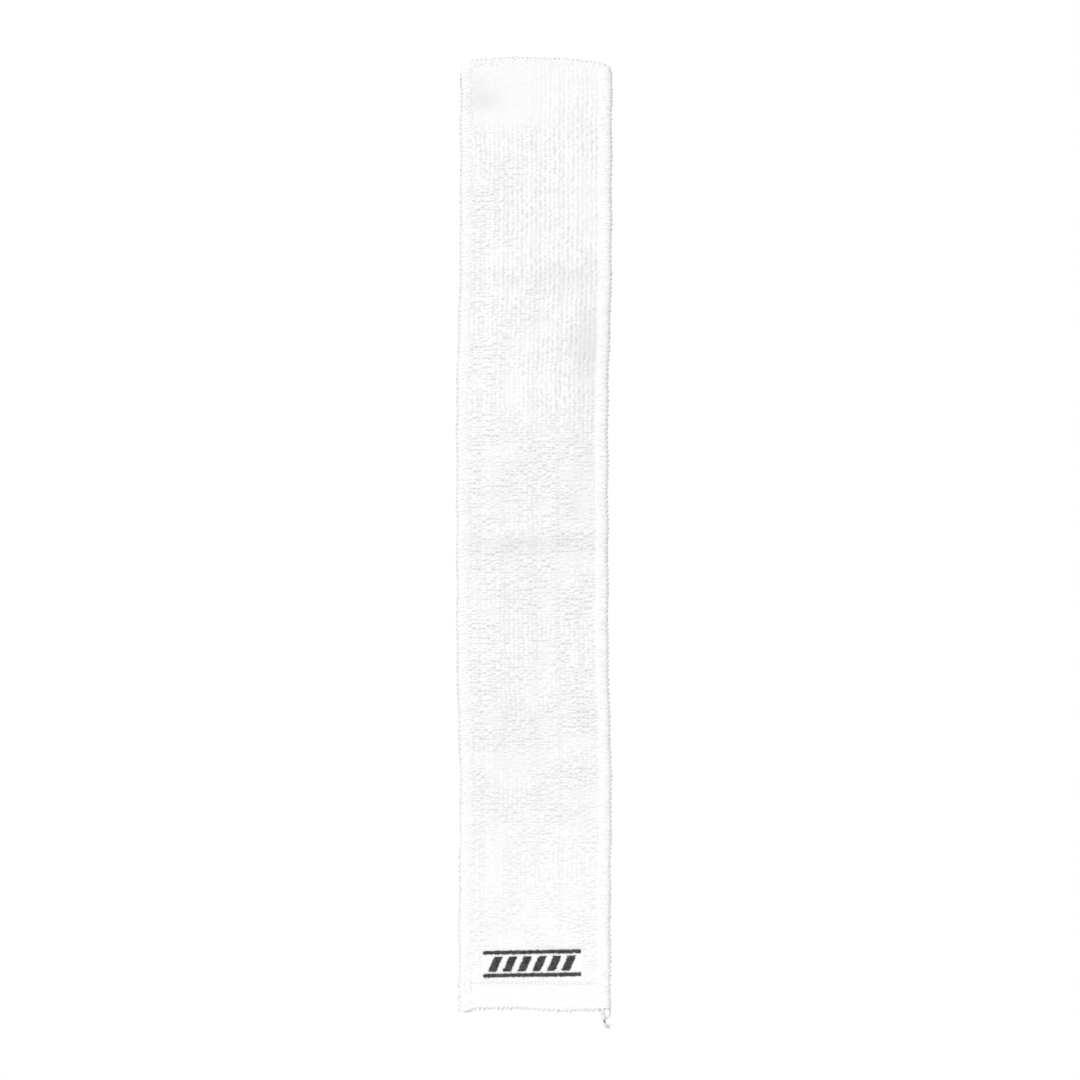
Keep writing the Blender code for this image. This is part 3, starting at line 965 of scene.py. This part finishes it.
def satin(centre, size, upright, slant, top, root, seed):
    """Arched strands that fill a block: upright strands for a rail, level ones for a bar."""
    width, height = size
    dice = np.random.default_rng(seed)
    count = round((width if upright else height) / SATIN_PITCH)
    across = np.array([-0.50, -0.40, 0.0, 0.40, 0.50])
    level = arch(root, top, 0.65)
    strands = []
    for number in range(count):
        share = (number + 0.5) / count - 0.5
        ragged = RAGGED * dice.normal(0.0, 1.0, 2)
        lean = SATIN_LEAN * dice.normal()
        if upright:
            v = across * height + np.linspace(ragged[0], ragged[1], 5)
            u = share * width + np.linspace(-lean, lean, 5)
        else:
            u = across * width + np.linspace(ragged[0], ragged[1], 5) + share * height * np.tan(slant)
            v = share * height + np.linspace(-lean, lean, 5)
        x = centre[0] + u * cos(TILT) - v * sin(TILT)
        z = centre[1] + u * sin(TILT) + v * cos(TILT)
        strands.append((np.column_stack([x, level * (1.0 + 0.03 * dice.normal()), z]), SATIN_RADIUS))
    return strands


def middle_of(node):
    """The middle of a node's box, in the strip's plane."""
    low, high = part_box(node)
    return ((low.x + high.x) / 2, (low.z + high.z) / 2)


print(f"{1 / (SATIN_PITCH / MM):.1f} strands to the millimetre")

# %% Two rails and six bars
BAR_SIZE = (5.2 * MM, 9.8 * MM)
BAR_SLANT = radians(24.0)
RAIL_SIZE = (65.0 * MM, 2.1 * MM)
EMBLEM_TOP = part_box("emblem_top_rail")[0].y - MIDDLE_Y + SATIN_RADIUS
EMBLEM_ROOT = -0.9 * MM
BOBBIN_TOP, BOBBIN_ROOT = 1.95 * MM, 0.9 * MM
BLOCKS = [(f"emblem_{end}_rail", RAIL_SIZE, True, 0.0) for end in ("top", "bottom")]
BLOCKS += [(f"emblem_bar_{number}", BAR_SIZE, False, BAR_SLANT) for number in range(1, 7)]

bobbin = []
for seed, (node, size, upright, slant) in enumerate(BLOCKS):
    strands = satin(middle_of(node), size, upright, slant, EMBLEM_TOP, EMBLEM_ROOT, seed + 300)
    block = threads(node.replace("emblem", "satin"), strands, EMBROIDERY)
    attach(block, "lower_streamer")
    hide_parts(node)
    bobbin += satin(middle_of(node), size, upright, slant, BOBBIN_TOP, BOBBIN_ROOT, seed + 400)
    print(f"{block.name}: {len(strands)} strands")


# %% A thin patch of fabric
def rounded(points, centre, half, corner):
    """Pulls the corners of a flat grid, centred at 0, in to a radius, and moves it to centre."""
    x, z = points[:, 0], points[:, 2]
    a = np.clip((abs(x) - half[0] + corner) / corner, 0.0, 1.0)
    b = np.clip((abs(z) - half[1] + corner) / corner, 0.0, 1.0)
    x -= np.sign(x) * corner * a * (1.0 - np.sqrt(1.0 - b * b / 2))
    z -= np.sign(z) * corner * b * (1.0 - np.sqrt(1.0 - a * a / 2))
    x += centre[0]
    z += centre[1]
    return points


FABRIC_STEP = 0.5 * MM
SOFT_EDGE = 1.2 * MM     # how far in a patch reaches its full thickness


def patch(name, centre, size, levels, corner, weave, material):
    """A thin rectangle of fabric behind the cloth, from and to the two levels, with a woven or felted face."""
    columns, rows = (round(length / FABRIC_STEP) for length in size)
    piece, points = closed_grid(name, size[0], size[1], columns, rows)
    behind = points[:, 1] > 0
    inner = np.minimum(size[0] / 2 - abs(points[:, 0]), size[1] / 2 - abs(points[:, 2]))
    rounding = 0.4 + 0.6 * smooth_step(inner / SOFT_EDGE)
    face = levels[0] + (levels[1] - levels[0]) * rounding + weave(points[:, 0], points[:, 2])
    points[:, 1] = np.where(behind, face, levels[0])
    points = rounded(points, centre, (size[0] / 2, size[1] / 2), corner)
    return settle(piece, points, ~behind, material)


def felt(x, z):
    """Uneven heights, as of pressed fibres."""
    dice = np.random.default_rng(77)
    return 0.05 * MM * dice.normal(0.0, 1.0, len(x))


def tape_weave(x, z):
    """A plain weave, 1 mm across and 2 mm along."""
    return 0.06 * MM * wave(x, 1.0 * MM) * wave(z, 2.0 * MM)


print(f"patches on a grid of {FABRIC_STEP / MM} mm")

# %% Backing and bobbin thread
BACK_CORNER = 2.0 * MM
BACK_LEVELS = (0.9 * MM, 1.7 * MM)
TILT_ROOM = 1.1 * MM     # the box's height that only comes from the emblem's tilt
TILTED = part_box("emblem_backing")
BACKING_SIZE = (TILTED[1].x - TILTED[0].x, TILTED[1].z - TILTED[0].z - TILT_ROOM)

backing_place = middle_of("emblem_backing")
backing = patch("felt_backing", backing_place, BACKING_SIZE, BACK_LEVELS, BACK_CORNER, felt, BACKING)
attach(backing, "lower_streamer")
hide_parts("emblem_backing")
bobbins = threads("bobbin_thread", bobbin, SEWING, sides=4)
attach(bobbins, "lower_streamer")
print(f"{backing.name}: {BACKING_SIZE[0] / MM:.0f} mm long, {len(bobbin)} bobbin strands behind it")

# %% [markdown]
# ## Hook-and-loop tapes
# Both tapes are sewn to the back. Hook tape is a woven ground with stiff nylon hooks in rows; loop tape has
# a brushed mat of fine loops. A hook is one short thread bent over at the top, and a loop is an arch that goes
# any way it likes. Each has only a few dozen faces, because there are hundreds of them. A rectangle of
# lockstitches holds each tape, and no hook or loop stands on that line.

# %% Tape grounds and their stitches
SEAM_INSET = 2.4 * MM
TAPE_LEVELS = (0.80 * MM, 1.70 * MM)
TAPE_FACE = TAPE_LEVELS[1]
TAPE_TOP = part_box("hook_tape")[1].y - MIDDLE_Y
TAPE_CORNER = 1.5 * MM
TAPE_STITCH, TAPE_THREAD = 2.6 * MM, 0.22 * MM


def rectangle_seam(node, top, dip, seed):
    """Four rows of lockstitches inside a tape's edge."""
    (left, low), (right, high) = flat_box(node)
    left, low, right, high = left + SEAM_INSET, low + SEAM_INSET, right - SEAM_INSET, high - SEAM_INSET
    corners = [(left, low), (right, low), (right, high), (left, high), (left, low)]
    strands = []
    for start, end in zip(corners, corners[1:]):
        strands += lockstitches(start, end, TAPE_STITCH, top, dip, TAPE_THREAD, seed)
    return strands


for node, by in (("hook_tape", "flap"), ("loop_tape", "waist")):
    low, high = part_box(node)
    kind = node.split("_")[0]
    size = (high.x - low.x, high.z - low.z)
    ground = patch(kind + "_ground", middle_of(node), size, TAPE_LEVELS, TAPE_CORNER, tape_weave, TAPE_BASE)
    seam = rectangle_seam(node, TAPE_FACE + 0.15 * MM, TAPE_FACE - 0.4 * MM, 31)
    seam += rectangle_seam(node, -0.76 * MM, -0.5 * MM, 32)
    stitches = threads(kind + "_stitches", seam, SEWING, sides=4)
    for piece, slot, stands_for in ((ground, node, node), (stitches, "stitching", node + "_stitching")):
        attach(piece, by)
        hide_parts(stands_for)
    print(f"{ground.name} and {len(seam)} stitches on {by}")

# %% Hooks
# A hook's points: how far it has bent over, in millimetres, and how high it is, from the tape to its top.
HOOK = np.array(((0.0, -0.1), (0.0, 0.65), (0.12, 0.95), (0.38, 1.05), (0.58, 0.85)))
HOOK_PITCH = (1.25 * MM, 1.60 * MM)
HOOK_RADIUS = 0.13 * MM


def off_seam(x, z, node):
    """True where a hook or loop may stand: on the tape, and off its line of stitches."""
    (left, low), (right, high) = flat_box(node)
    inner = np.minimum(np.minimum(x - left, right - x), np.minimum(z - low, high - z))
    return (inner > 0.7 * MM) & (abs(inner - SEAM_INSET) > 0.55 * MM)


def rows_over(node, pitch):
    """Places in rows over a tape, every second row shifted by half a pitch."""
    (left, low), (right, high) = flat_box(node)
    x, z = np.meshgrid(np.arange(left, right, pitch[0]), np.arange(low, high, pitch[1]), indexing="ij")
    x = x + (np.round((z - low) / pitch[1]) % 2) * pitch[0] / 2
    keep = off_seam(x, z, node)
    return x[keep], z[keep]


dice = np.random.default_rng(51)
hooks = []
for x, z in zip(*rows_over("hook_tape", HOOK_PITCH)):
    turn = (1 if dice.random() > 0.5 else -1) * (1.0 + 0.1 * dice.normal())
    lean = 0.08 * MM * dice.normal()
    reach = HOOK[:, 0] * MM * turn
    rise = TAPE_FACE + HOOK[:, 1] * (TAPE_TOP - TAPE_FACE)
    hooks.append((np.column_stack([x + lean * HOOK[:, 1], rise, z + reach]), HOOK_RADIUS))
hook_field = threads("hook_field", hooks, HOOK_NYLON, sides=4)
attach(hook_field, "flap")
print(f"{len(hooks)} hooks, {len(hook_field.data.polygons)} faces")

# %% Loops
LOOP_COUNT = 3000
LOOP_RADIUS = 0.09 * MM
(left, low), (right, high) = flat_box("loop_tape")
x = left + (right - left) * dice.random(LOOP_COUNT)
z = low + (high - low) * dice.random(LOOP_COUNT)
standing = off_seam(x, z, "loop_tape")
mat = []
for x, z in zip(x[standing], z[standing]):
    heading = 2 * pi * dice.random()
    reach = (0.5 + 0.6 * dice.random()) * MM
    rise = (0.60 + 0.35 * dice.random()) * (TAPE_TOP - TAPE_FACE)
    bend = np.linspace(0.0, pi, 6)
    across = -np.cos(bend) * reach
    sway = 0.25 * MM * dice.normal() * np.sin(bend)
    place = np.column_stack([
        x + across * cos(heading) - sway * sin(heading),
        TAPE_FACE - 0.1 * MM + np.sin(bend) * rise,
        z + across * sin(heading) + sway * cos(heading),
    ])
    mat.append((place, LOOP_RADIUS))
loop_field = threads("loop_field", mat, LOOP_NYLON, sides=4)
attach(loop_field, "waist")
print(f"{len(mat)} loops, {len(loop_field.data.polygons)} faces")

# %% [markdown]
# ## End
# The visual model has to stay within the imported model's box, apart from the little that fabric may stand
# proud.

# %% Finish
print("finished")
